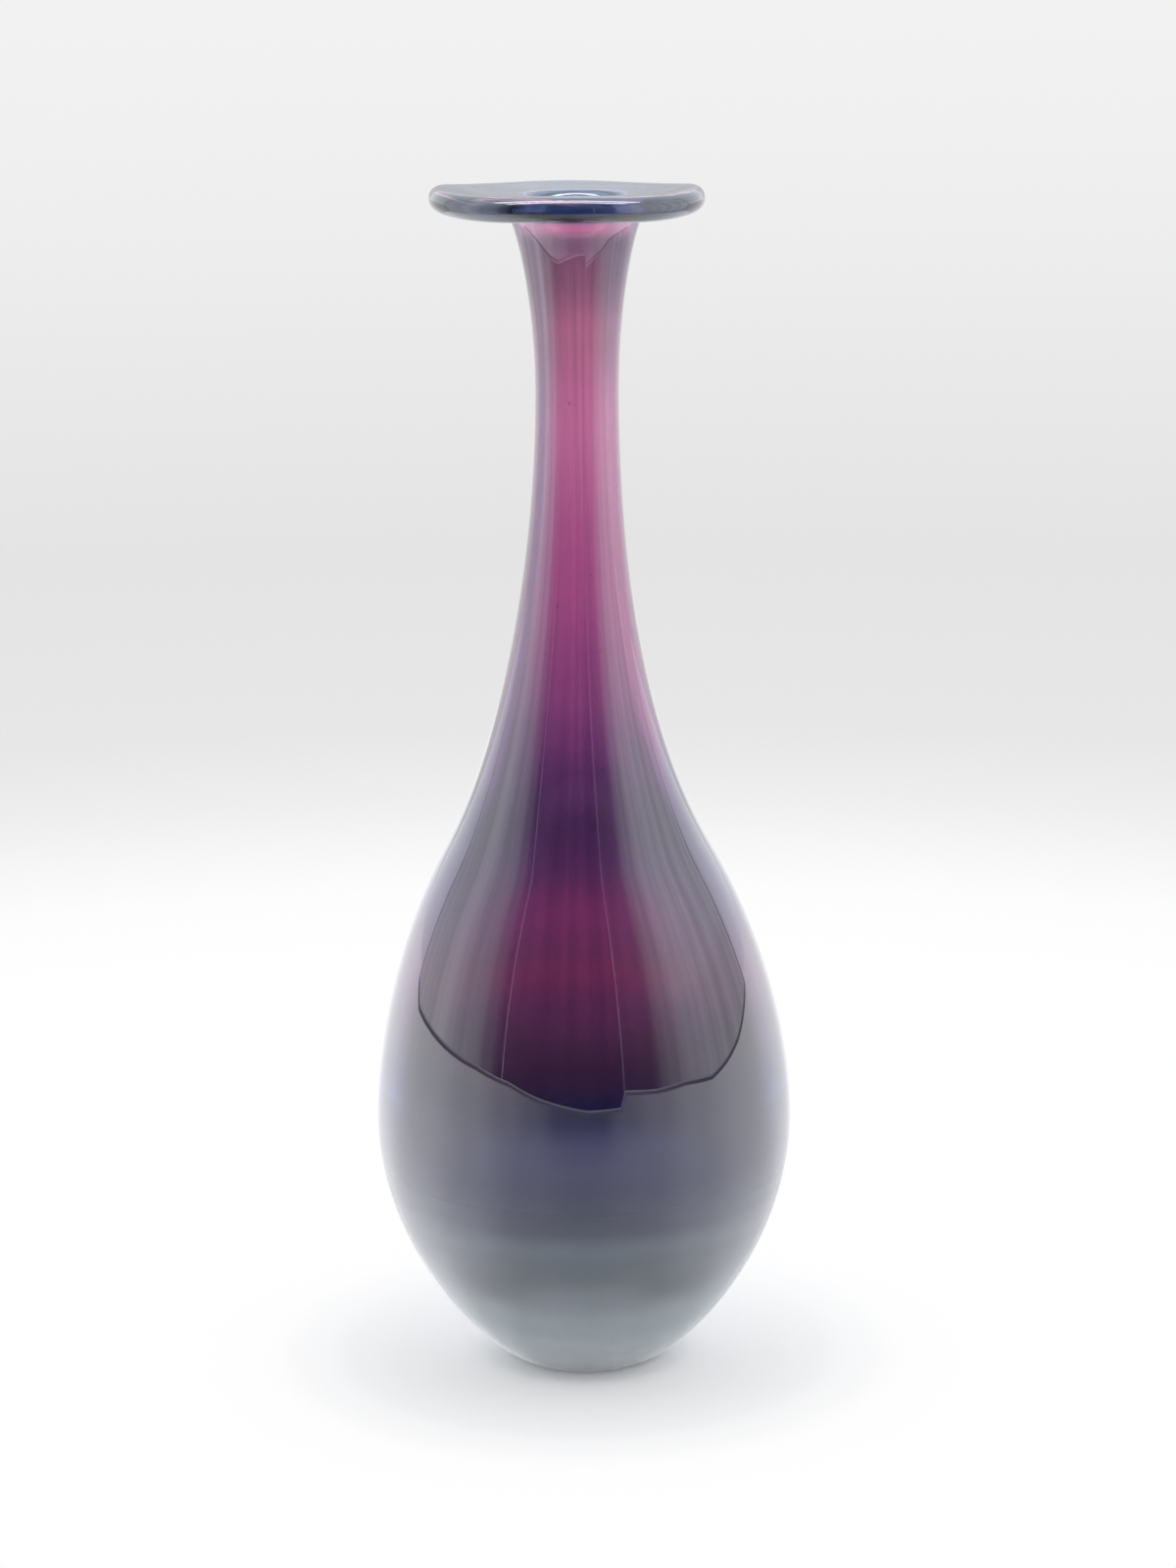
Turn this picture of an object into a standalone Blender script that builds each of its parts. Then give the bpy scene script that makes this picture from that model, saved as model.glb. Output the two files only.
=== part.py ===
# Art glass bottle vase with a full belly, a slender neck and a thick flared lip
# It is made up as a glassmaker gathers it. An amethyst bubble holds the water, a heavier
# smoky casing is gathered round it, and a lip wrap is laid round the top of the neck.
# Lengths are in metres and +Z is up. The origin is the middle of the foot, on the table.

import math

import bmesh
import bpy

# Outside of the vase, from the foot up
HEIGHT = 0.2972
FOOT_RADIUS = 0.0184
HEEL_HANDLE = 0.0051
HEEL_ANGLE = math.radians(83.5)
BELLY_RADIUS = 0.0527
BELLY_HEIGHT = 0.0640
BELLY_HANDLE_BELOW = 0.0379
BELLY_HANDLE_ABOVE = 0.0120
SHOULDER_RADIUS = 0.0337
SHOULDER_HEIGHT = 0.1324
SHOULDER_SLOPE = math.radians(29)
SHOULDER_HANDLE_BELOW = 0.0320
SHOULDER_HANDLE_ABOVE = 0.0437
NECK_RADIUS = 0.0103
NECK_DROP = 0.0492
NECK_HEIGHT = HEIGHT - NECK_DROP
NECK_HANDLE_BELOW = 0.0223
NECK_HANDLE_ABOVE = 0.0242

# Ground and polished punt in the middle of the foot
PUNT_RADIUS = 0.0100
PUNT_DEPTH = 0.0012

# Glass left between the outside and the bore
BASE_THICKNESS = 0.0220
BELLY_WALL = 0.0062
NECK_WALL = 0.0031
BUBBLE_WALL = 0.0014
BORE_FLOOR_HANDLE = 0.0280
BORE_HEEL_HANDLE = 0.0240

# Mouth, where the bubble's neck is opened out over the lip wrap
MOUTH_RADIUS = 0.0150
MOUTH_DEPTH = 0.0012
MOUTH_HANDLE = 0.0062
THROAT_HANDLE = 0.0270

# Lip wrap, a thick disc with a half round edge
LIP_RADIUS = 0.0337
LIP_THICKNESS = 0.0062
COVE_RADIUS = 0.0170
COVE_HANDLE = 0.0016
COVE_SEAM_SHARE = 0.74

# What hand work left: the lip is off centre, wavy and folded down at the front and the
# back, the neck sways to one side, and the foot is ground a little to the other
LIP_DRIFT = 0.0021
LIP_WAVE = 0.0003
LIP_WAVES = 4
LIP_FOLD = 0.0004
LIP_FOLDS = 2
LIP_LIFT = 0.0002
SWAY = 0.0010
SWAY_HEIGHT = 0.1650
SWAY_REACH = 0.0950
FOOT_DRIFT = 0.0003

# Space left between one layer of glass and the next
LAYER_GAP = 0.0003

# Facets, and the edge angle from which an edge is shaded as a sharp one
TURN_STEPS = 44
HEEL_STEPS = 10
SHOULDER_STEPS = 7
NECK_STEPS = 8
COVE_STEPS = 8
EDGE_STEPS = 8
RIM_STEPS = 4
PUNT_STEPS = 3
SHARP_ANGLE = math.radians(50)
WELD = 0.00001


def bezier(start, leave, arrive, end, steps, first_share=0.0, last_share=1.0):
    """Points along the cubic curve through start and end, with its two handles."""
    points = []
    for i in range(steps + 1):
        t = first_share + (last_share - first_share) * i / steps
        s = 1 - t
        weights = (s * s * s, 3 * s * s * t, 3 * s * t * t, t * t * t)
        corners = (start, leave, arrive, end)
        radius = sum(w * c[0] for w, c in zip(weights, corners))
        height = sum(w * c[1] for w, c in zip(weights, corners))
        points.append((radius, height))
    return points


def arc(centre, radius, first, last, steps):
    """Points on a round edge from one angle to another, without the two ends."""
    points = []
    for i in range(1, steps):
        angle = first + (last - first) * i / steps
        points.append((centre[0] + radius * math.cos(angle), centre[1] + radius * math.sin(angle)))
    return points


def ease(share):
    """A smooth step from 0 to 1."""
    share = min(max(share, 0.0), 1.0)
    return share * share * (3 - 2 * share)


def offset(points, distances):
    """The curve moved outwards, square to itself, by a distance given at each point."""
    moved = []
    for i, (radius, height) in enumerate(points):
        before = points[max(i - 1, 0)]
        after = points[min(i + 1, len(points) - 1)]
        run = after[0] - before[0]
        rise = after[1] - before[1]
        length = math.hypot(run, rise)
        moved.append((radius + distances[i] * rise / length, height - distances[i] * run / length))
    return moved


def level(a, b, height):
    """The point at a given height on the line from a to b."""
    share = (height - a[1]) / (b[1] - a[1])
    return (a[0] + (b[0] - a[0]) * share, height)


def below(points, height):
    """The stretch of a rising curve under a height, ending at that height."""
    kept = [point for point in points if point[1] < height]
    return kept + [level(kept[-1], points[len(kept)], height)]


def above(points, height):
    """The stretch of a rising curve over a height, starting at that height."""
    kept = [point for point in points if point[1] > height]
    return [level(points[-len(kept) - 1], kept[0], height)] + kept


def heel_curve():
    """Outside of the casing, from the edge of the foot to the widest point of the belly."""
    start = (FOOT_RADIUS, 0)
    leave = (FOOT_RADIUS + HEEL_HANDLE * math.sin(HEEL_ANGLE), HEEL_HANDLE * math.cos(HEEL_ANGLE))
    arrive = (BELLY_RADIUS, BELLY_HEIGHT - BELLY_HANDLE_BELOW)
    end = (BELLY_RADIUS, BELLY_HEIGHT)
    return bezier(start, leave, arrive, end, HEEL_STEPS)


def shoulder_curve():
    """Outside of the casing, from the belly over the shoulder to the narrowest point of the neck."""
    lean = math.sin(SHOULDER_SLOPE)
    rise = math.cos(SHOULDER_SLOPE)
    start = (BELLY_RADIUS, BELLY_HEIGHT)
    leave = (BELLY_RADIUS, BELLY_HEIGHT + BELLY_HANDLE_ABOVE)
    middle = (SHOULDER_RADIUS, SHOULDER_HEIGHT)
    reach_middle = (middle[0] + SHOULDER_HANDLE_BELOW * lean, middle[1] - SHOULDER_HANDLE_BELOW * rise)
    leave_middle = (middle[0] - SHOULDER_HANDLE_ABOVE * lean, middle[1] + SHOULDER_HANDLE_ABOVE * rise)
    arrive = (NECK_RADIUS, NECK_HEIGHT - NECK_HANDLE_BELOW)
    end = (NECK_RADIUS, NECK_HEIGHT)
    lower = bezier(start, leave, reach_middle, middle, SHOULDER_STEPS)
    upper = bezier(middle, leave_middle, arrive, end, NECK_STEPS)
    return lower + upper[1:]


def cove_curve(first_share, last_share):
    """Outside of the neck where it sweeps out under the lip, or one stretch of that sweep."""
    underside = HEIGHT - LIP_THICKNESS
    start = (NECK_RADIUS, NECK_HEIGHT)
    leave = (NECK_RADIUS, NECK_HEIGHT + NECK_HANDLE_ABOVE)
    arrive = (COVE_RADIUS - COVE_HANDLE, underside)
    end = (COVE_RADIUS, underside)
    return bezier(start, leave, arrive, end, COVE_STEPS, first_share, last_share)


def seam_height():
    """Where the casing ends and the lip wrap starts."""
    return cove_curve(0.0, COVE_SEAM_SHARE)[-1][1]


def mouth_height():
    """The top of the bubble's opened rim, a little below the top of the lip."""
    return HEIGHT - MOUTH_DEPTH


def bore_curve():
    """The surface that holds the water, from the middle of its floor up to the mouth."""
    outside = shoulder_curve()
    walls = []
    for point in outside:
        climbed_share = (point[1] - BELLY_HEIGHT) / (NECK_HEIGHT - BELLY_HEIGHT)
        walls.append(-BELLY_WALL - (NECK_WALL - BELLY_WALL) * ease(climbed_share))
    sides = offset(outside, walls)
    sides[0] = (BELLY_RADIUS - BELLY_WALL, BELLY_HEIGHT)
    sides[-1] = (NECK_RADIUS - NECK_WALL, NECK_HEIGHT)
    floor = bezier(
        (0, BASE_THICKNESS),
        (BORE_FLOOR_HANDLE, BASE_THICKNESS),
        (sides[0][0], BELLY_HEIGHT - BORE_HEEL_HANDLE),
        sides[0],
        HEEL_STEPS,
    )
    throat = bezier(
        sides[-1],
        (sides[-1][0], NECK_HEIGHT + THROAT_HANDLE),
        (MOUTH_RADIUS - MOUTH_HANDLE, mouth_height()),
        (MOUTH_RADIUS, mouth_height()),
        COVE_STEPS,
    )
    return floor + sides[1:] + throat[1:]


def bubble_skin(distance):
    """The bore moved outwards into the glass by one distance, square at the axis and the rim."""
    bore = bore_curve()
    skin = offset(bore, [distance] * len(bore))
    skin[0] = (0, BASE_THICKNESS - distance)
    skin[-1] = (MOUTH_RADIUS, mouth_height() - distance)
    return skin


def bubble_outline():
    """Section of the amethyst bubble, from its outside bottom round the rim to its floor."""
    rim_centre = (MOUTH_RADIUS, mouth_height() - BUBBLE_WALL / 2)
    rim = arc(rim_centre, BUBBLE_WALL / 2, -math.pi / 2, math.pi / 2, RIM_STEPS)
    return bubble_skin(BUBBLE_WALL) + rim + bore_curve()[::-1]


def casing_outline():
    """Section of the smoky casing, from the punt round the foot and up, then down its inside."""
    punt = [(0, PUNT_DEPTH)]
    for i in range(1, PUNT_STEPS + 1):
        share = i / PUNT_STEPS
        punt.append((PUNT_RADIUS * share, PUNT_DEPTH * (1 - share * share)))
    outside = heel_curve() + shoulder_curve()[1:] + cove_curve(0.0, COVE_SEAM_SHARE)[1:]
    inside = below(bubble_skin(BUBBLE_WALL + LAYER_GAP), seam_height())
    return punt + outside + inside[::-1]


def lip_outline():
    """Closed section of the lip wrap: cove, underside, round edge, dished top and seat for the rim."""
    half = LIP_THICKNESS / 2
    start_height = seam_height() + LAYER_GAP
    cove = cove_curve(COVE_SEAM_SHARE, 1.0)
    cove[0] = (cove[0][0], start_height)
    edge_centre = (LIP_RADIUS - half, HEIGHT - half)
    edge = arc(edge_centre, half, -math.pi / 2, math.pi / 2, EDGE_STEPS)
    edge_foot = (edge_centre[0], HEIGHT - LIP_THICKNESS)
    edge_top = (edge_centre[0], HEIGHT)
    seat_radius = BUBBLE_WALL / 2 + LAYER_GAP
    seat_centre = (MOUTH_RADIUS, mouth_height() - BUBBLE_WALL / 2)
    seat_side = (MOUTH_RADIUS + seat_radius, seat_centre[1])
    seat_top = (seat_side[0], mouth_height())
    ridge_slope = (edge_top[0] - seat_top[0]) / 2
    dish = bezier(
        edge_top,
        (edge_top[0] - ridge_slope, HEIGHT),
        (seat_top[0] + ridge_slope, mouth_height()),
        seat_top,
        RIM_STEPS,
    )
    seat = arc(seat_centre, seat_radius, 0, -math.pi / 2, RIM_STEPS)
    throat = above(bubble_skin(BUBBLE_WALL + LAYER_GAP), start_height)
    return cove + [edge_foot] + edge + dish + [seat_side] + seat + throat[::-1]


def sway(height):
    """How far the middle of the vase lies from the axis at a height."""
    away = min(abs(height - SWAY_HEIGHT) / SWAY_REACH, 1)
    neck = -SWAY * (1 + math.cos(math.pi * away)) / 2
    foot = FOOT_DRIFT * (1 - ease(height / BELLY_HEIGHT))
    return neck + foot


def work_by_hand(vertex):
    """Moves one point as the glassmaker's tools did, so that nothing is quite true."""
    x, y, z = vertex.co
    reach = math.hypot(x, y)
    if z > seam_height():
        flow = ease((reach - MOUTH_RADIUS - BUBBLE_WALL) / (LIP_RADIUS - MOUTH_RADIUS - BUBBLE_WALL))
        angle = math.atan2(y, x)
        wave = LIP_WAVE * math.cos(LIP_WAVES * angle) + LIP_FOLD * math.cos(LIP_FOLDS * angle)
        vertex.co.x -= LIP_DRIFT * flow
        vertex.co.z += flow * (wave - LIP_LIFT * math.cos(angle))
    vertex.co.x += sway(z)


def turned(name, outline, closed):
    """A mesh made by turning an outline about the axis, then worked by hand."""
    shape = bmesh.new()
    verts = [shape.verts.new((radius, 0, height)) for radius, height in outline]
    pairs = list(zip(verts, verts[1:]))
    if closed:
        pairs.append((verts[-1], verts[0]))
    edges = [shape.edges.new(pair) for pair in pairs]
    bmesh.ops.spin(
        shape,
        geom=verts + edges,
        cent=(0, 0, 0),
        axis=(0, 0, 1),
        angle=2 * math.pi,
        steps=TURN_STEPS,
        use_merge=True,
        use_duplicate=False,
    )
    bmesh.ops.remove_doubles(shape, verts=shape.verts, dist=WELD)
    bmesh.ops.recalc_face_normals(shape, faces=shape.faces)
    for vertex in shape.verts:
        work_by_hand(vertex)
    mesh = bpy.data.meshes.new(name)
    shape.to_mesh(mesh)
    shape.free()
    return mesh


def glass(name, colour, roughness):
    """Clear coloured glass."""
    material = bpy.data.materials.new(name)
    material.use_nodes = True
    shader = material.node_tree.nodes["Principled BSDF"]
    shader.inputs["Base Color"].default_value = (*colour, 1)
    shader.inputs["Roughness"].default_value = roughness
    shader.inputs["Metallic"].default_value = 0
    shader.inputs["IOR"].default_value = 1.52
    shader.inputs["Transmission Weight"].default_value = 1
    return material


def amethyst_glass():
    return glass("amethyst_glass", (0.44, 0.10, 0.27), 0.02)


def smoky_glass():
    return glass("smoky_glass", (0.30, 0.21, 0.38), 0.02)


def lip_glass():
    return glass("lip_glass", (0.22, 0.17, 0.34), 0.02)


def add_piece(name, outline, material, parent, closed=False):
    """One separate piece of glass, smooth but for its ground and cut edges."""
    mesh = turned(name, outline, closed)
    mesh.materials.append(material)
    mesh.shade_smooth()
    mesh.set_sharp_from_angle(angle=SHARP_ANGLE)
    piece = bpy.data.objects.new(name, mesh)
    piece.parent = parent
    bpy.context.scene.collection.objects.link(piece)
    return piece


def clear_scene():
    for old in list(bpy.data.objects):
        bpy.data.objects.remove(old)


def build_vase():
    clear_scene()
    vase = bpy.data.objects.new("vase", None)
    bpy.context.scene.collection.objects.link(vase)
    add_piece("amethyst_bubble", bubble_outline(), amethyst_glass(), vase)
    add_piece("smoky_casing", casing_outline(), smoky_glass(), vase)
    add_piece("lip_wrap", lip_outline(), lip_glass(), vase, closed=True)


build_vase()
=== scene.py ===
import math
import random

import bmesh
import bpy
import numpy as np
from mathutils import Matrix

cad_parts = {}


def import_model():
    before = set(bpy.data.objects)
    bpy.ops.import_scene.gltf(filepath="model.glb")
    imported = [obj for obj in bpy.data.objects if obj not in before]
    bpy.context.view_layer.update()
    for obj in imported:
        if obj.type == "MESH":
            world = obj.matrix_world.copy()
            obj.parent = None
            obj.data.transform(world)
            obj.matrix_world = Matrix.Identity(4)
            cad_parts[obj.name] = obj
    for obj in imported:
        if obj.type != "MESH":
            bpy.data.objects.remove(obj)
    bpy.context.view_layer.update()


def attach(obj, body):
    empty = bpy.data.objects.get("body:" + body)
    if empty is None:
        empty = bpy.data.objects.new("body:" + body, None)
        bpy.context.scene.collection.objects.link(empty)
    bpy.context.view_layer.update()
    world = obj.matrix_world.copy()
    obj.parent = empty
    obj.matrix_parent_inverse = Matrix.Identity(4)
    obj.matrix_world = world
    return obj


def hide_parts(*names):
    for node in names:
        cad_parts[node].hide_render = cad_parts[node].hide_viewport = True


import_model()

# Sizes in metres, angles and shares, with the same values as in the part's source
HEIGHT = 0.2972
FOOT_RADIUS = 0.0184
HEEL_HANDLE = 0.0051
HEEL_ANGLE = math.radians(83.5)
BELLY_RADIUS = 0.0527
BELLY_HEIGHT = 0.0640
BELLY_HANDLE_BELOW = 0.0379
BELLY_HANDLE_ABOVE = 0.0120
SHOULDER_RADIUS = 0.0337
SHOULDER_HEIGHT = 0.1324
SHOULDER_SLOPE = math.radians(29)
SHOULDER_HANDLE_BELOW = 0.0320
SHOULDER_HANDLE_ABOVE = 0.0437
NECK_RADIUS = 0.0103
NECK_HEIGHT = 0.2480
NECK_HANDLE_BELOW = 0.0223
NECK_HANDLE_ABOVE = 0.0242
PUNT_RADIUS = 0.0100
PUNT_DEPTH = 0.0012
BASE_THICKNESS = 0.0220
BELLY_WALL = 0.0062
NECK_WALL = 0.0031
BORE_FLOOR_HANDLE = 0.0280
BORE_HEEL_HANDLE = 0.0240
MOUTH_RADIUS = 0.0150
MOUTH_DEPTH = 0.0012
MOUTH_HANDLE = 0.0062
THROAT_HANDLE = 0.0270
LIP_RADIUS = 0.0337
LIP_THICKNESS = 0.0062
COVE_RADIUS = 0.0170
COVE_HANDLE = 0.0016
COVE_SEAM_SHARE = 0.74
LIP_DRIFT = 0.0021
LIP_WAVE = 0.0003
LIP_WAVES = 4
LIP_FOLD = 0.0004
LIP_FOLDS = 2
LIP_LIFT = 0.0002
SWAY = 0.0010
SWAY_HEIGHT = 0.1650
SWAY_REACH = 0.0950
FOOT_DRIFT = 0.0003
BUBBLE_WALL = 0.0014

# The coloured layer round the bore, by how deep it lies in the wall
BUBBLE_CORE_NEAR = 0.0002
BUBBLE_CORE_FAR = 0.0013
BUBBLE_CORE_FLOOR = 0.0004

# The coloured glass inside the lip
LIP_CORE_INSET = 0.0007
LIP_CORE_START = 0.0035
LIP_CORE_DIP = 0.0010
LIP_CORE_MIDDLE_DIP = 0.0004
LIP_CORE_RISE = 0.0006
LIP_CORE_TOP_SHARE = 0.5
LIP_CORE_UNDER_SHARE = 0.4

# Steps round the axis and along each stretch of the outline
TURN = 240
CORE_TURN = 120
PUNT_STEPS = 6
RING_SHARES = (0.04, 0.5, 0.96)
HEEL_STEPS = 36
BELLY_STEPS = 26
SHOULDER_STEPS = 36
COVE_STEPS = 22
SEAM_STEPS = 8
EDGE_STEPS = 20
CORE_EDGE_STEPS = 14
DISH_STEPS = 14
BORE_FLOOR_STEPS = 26
THROAT_STEPS = 22
SMALLEST_RADIUS = 1e-9


# The outline of the glass
def bezier(start, leave, arrive, end, steps, first=0.0, last=1.0):
    t = np.linspace(first, last, steps + 1)[:, None]
    s = 1 - t
    p = [np.array(q, float) for q in (start, leave, arrive, end)]
    return s**3 * p[0] + 3 * s * s * t * p[1] + 3 * s * t * t * p[2] + t**3 * p[3]


def ease(x):
    x = np.clip(x, 0, 1)
    return x * x * (3 - 2 * x)


def offset(points, distance):
    """The points moved square to their line, to its right."""
    run = np.gradient(points, axis=0)
    run /= np.linalg.norm(run, axis=1)[:, None]
    out = np.stack([run[:, 1], -run[:, 0]], 1)
    return points + out * np.asarray(distance)[..., None] * np.ones((len(points), 1))


def heel():
    leave = (FOOT_RADIUS + HEEL_HANDLE * math.sin(HEEL_ANGLE), HEEL_HANDLE * math.cos(HEEL_ANGLE))
    return bezier((FOOT_RADIUS, 0), leave, (BELLY_RADIUS, BELLY_HEIGHT - BELLY_HANDLE_BELOW),
                  (BELLY_RADIUS, BELLY_HEIGHT), HEEL_STEPS)


def shoulder():
    lean, rise = math.sin(SHOULDER_SLOPE), math.cos(SHOULDER_SLOPE)
    middle = (SHOULDER_RADIUS, SHOULDER_HEIGHT)
    below = (middle[0] + SHOULDER_HANDLE_BELOW * lean, middle[1] - SHOULDER_HANDLE_BELOW * rise)
    above = (middle[0] - SHOULDER_HANDLE_ABOVE * lean, middle[1] + SHOULDER_HANDLE_ABOVE * rise)
    lower = bezier((BELLY_RADIUS, BELLY_HEIGHT), (BELLY_RADIUS, BELLY_HEIGHT + BELLY_HANDLE_ABOVE),
                   below, middle, BELLY_STEPS)
    upper = bezier(middle, above, (NECK_RADIUS, NECK_HEIGHT - NECK_HANDLE_BELOW),
                   (NECK_RADIUS, NECK_HEIGHT), SHOULDER_STEPS)
    return np.vstack([lower, upper[1:]])


def cove(first, last, steps):
    under = HEIGHT - LIP_THICKNESS
    return bezier((NECK_RADIUS, NECK_HEIGHT), (NECK_RADIUS, NECK_HEIGHT + NECK_HANDLE_ABOVE),
                  (COVE_RADIUS - COVE_HANDLE, under), (COVE_RADIUS, under), steps, first, last)


MOUTH_HEIGHT = HEIGHT - MOUTH_DEPTH
SEAM_HEIGHT = cove(0, COVE_SEAM_SHARE, SEAM_STEPS)[-1][1]


def bore():
    outside = shoulder()
    climbed = (outside[:, 1] - BELLY_HEIGHT) / (NECK_HEIGHT - BELLY_HEIGHT)
    walls = -BELLY_WALL - (NECK_WALL - BELLY_WALL) * ease(climbed)
    sides = offset(outside, walls)
    sides[0] = (BELLY_RADIUS - BELLY_WALL, BELLY_HEIGHT)
    sides[-1] = (NECK_RADIUS - NECK_WALL, NECK_HEIGHT)
    floor = bezier((0, BASE_THICKNESS), (BORE_FLOOR_HANDLE, BASE_THICKNESS),
                   (sides[0][0], BELLY_HEIGHT - BORE_HEEL_HANDLE), sides[0], BORE_FLOOR_STEPS)
    throat = bezier(sides[-1], (sides[-1][0], NECK_HEIGHT + THROAT_HANDLE),
                    (MOUTH_RADIUS - MOUTH_HANDLE, MOUTH_HEIGHT), (MOUTH_RADIUS, MOUTH_HEIGHT), THROAT_STEPS)
    return np.vstack([floor, sides[1:], throat[1:]])


def dish():
    """The top of the lip, from its edge in to the mouth."""
    half = LIP_THICKNESS / 2
    top = (LIP_RADIUS - half, HEIGHT)
    inner = (MOUTH_RADIUS, MOUTH_HEIGHT)
    reach = (top[0] - inner[0]) / 2
    return bezier(top, (top[0] - reach, HEIGHT), (inner[0] + reach, MOUTH_HEIGHT), inner, DISH_STEPS)


def edge(steps, inset=0.0):
    half = LIP_THICKNESS / 2
    a = np.linspace(-math.pi / 2, math.pi / 2, steps + 1)
    r = half - inset
    return np.stack([LIP_RADIUS - half + r * np.cos(a), HEIGHT - half + r * np.sin(a)], 1)


def glass_outline():
    share = np.linspace(0, 1, PUNT_STEPS + 1)[:, None]
    punt = np.hstack([PUNT_RADIUS * share, PUNT_DEPTH * (1 - share**2)])
    ring = np.array([[PUNT_RADIUS + (FOOT_RADIUS - PUNT_RADIUS) * s, 0] for s in RING_SHARES])
    outside = np.vstack([heel(), shoulder()[1:], cove(0, 1, COVE_STEPS)[1:]])
    return np.vstack([punt, ring, outside, edge(EDGE_STEPS), dish()[1:], bore()[::-1][1:]])


def bubble_core_outline():
    skin = bore()[:-1]
    climbed = ease((skin[:, 1] - BASE_THICKNESS) / (BELLY_HEIGHT - BASE_THICKNESS))
    inner = offset(skin, BUBBLE_CORE_NEAR)
    outer = offset(skin, BUBBLE_CORE_FLOOR + (BUBBLE_CORE_FAR - BUBBLE_CORE_FLOOR) * climbed)
    inner[0] = (0, BASE_THICKNESS - BUBBLE_CORE_NEAR)
    outer[0] = (0, BASE_THICKNESS - BUBBLE_CORE_FLOOR)
    return np.vstack([outer, inner[::-1]])


def lip_core_outline():
    low, high = MOUTH_RADIUS + LIP_CORE_START, LIP_RADIUS - LIP_THICKNESS / 2
    top = HEIGHT - LIP_CORE_INSET
    bottom = HEIGHT - LIP_THICKNESS + LIP_CORE_INSET
    over = [(low + LIP_CORE_TOP_SHARE * (high - low), top - LIP_CORE_MIDDLE_DIP), (low, top - LIP_CORE_DIP)]
    under = [(low, bottom + LIP_CORE_RISE), (low + LIP_CORE_UNDER_SHARE * (high - low), bottom)]
    return np.vstack([edge(CORE_EDGE_STEPS, LIP_CORE_INSET), over, under])


def work_by_hand(points):
    """Gives turned points the lip's drift, waves and fold, the neck's sway and the foot's drift."""
    reach = np.hypot(points[:, 0], points[:, 1])
    angle = np.arctan2(points[:, 1], points[:, 0])
    z = points[:, 2].copy()
    flow = ease((reach - MOUTH_RADIUS - BUBBLE_WALL) / (LIP_RADIUS - MOUTH_RADIUS - BUBBLE_WALL))
    flow = np.where(z > SEAM_HEIGHT, flow, 0)
    points[:, 0] -= LIP_DRIFT * flow
    wave = LIP_WAVE * np.cos(LIP_WAVES * angle) + LIP_FOLD * np.cos(LIP_FOLDS * angle)
    points[:, 2] += flow * (wave - LIP_LIFT * np.cos(angle))
    away = np.minimum(np.abs(z - SWAY_HEIGHT) / SWAY_REACH, 1)
    points[:, 0] -= SWAY * (1 + np.cos(math.pi * away)) / 2
    points[:, 0] += FOOT_DRIFT * (1 - ease(z / BELLY_HEIGHT))
    return points


def circle(radius, height, steps):
    angles = [2 * math.pi * k / steps for k in range(steps)]
    return [(radius * math.cos(a), radius * math.sin(a), height) for a in angles]


def turned(outline, closed=False, turn=TURN):
    """Points and faces made by turning an outline about the axis."""
    rings = []
    verts = []
    for radius, height in outline:
        on_axis = radius < SMALLEST_RADIUS
        count = 1 if on_axis else turn
        rings.append(list(range(len(verts), len(verts) + count)))
        verts += [(0, 0, height)] if on_axis else circle(radius, height, turn)
    faces = []
    pairs = list(zip(rings, rings[1:]))
    if closed:
        pairs.append((rings[-1], rings[0]))
    for a, b in pairs:
        for k in range(turn):
            after = (k + 1) % turn
            if len(a) == 1:
                faces.append((a[0], b[after], b[k]))
            elif len(b) == 1:
                faces.append((a[k], a[after], b[0]))
            else:
                faces.append((a[k], a[after], b[after], b[k]))
    return work_by_hand(np.array(verts, float)), faces


def new_mesh(name, verts, faces):
    mesh = bpy.data.meshes.new(name)
    mesh.from_pydata([tuple(v) for v in verts], [], faces)
    mesh.update()
    mesh.shade_smooth()
    return mesh


def new_object(name, mesh, material):
    mesh.materials.append(material)
    obj = bpy.data.objects.new(name, mesh)
    bpy.context.scene.collection.objects.link(obj)
    return obj


def mark(mesh, name, values):
    """Keeps a value at each point of the mesh, for its material to read."""
    mesh.attributes.new(name, "FLOAT", "POINT").data.foreach_set("value", np.asarray(values, np.float32))


def glass_piece(name, verts, faces, material, node, slot):
    obj = new_object(name, new_mesh(name, verts, faces), material)
    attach(obj, "root")
    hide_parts(node)
    return obj


# Materials
# just over the lip, where the ramps by height end
TOP = 0.301
# the least distance from the axis for noise that turns round it
NOISE_LEAST_RADIUS = 0.0005
# the numbers of a Mix node's sockets for colours
MIX_SHARE_IN = 0
MIX_FIRST_IN = 6
MIX_SECOND_IN = 7
MIX_COLOUR_OUT = 2
# the density of coloured glass over its greatest loss, so that no part of its colour falls to 0
DENSITY_MARGIN = 1.05


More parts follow.
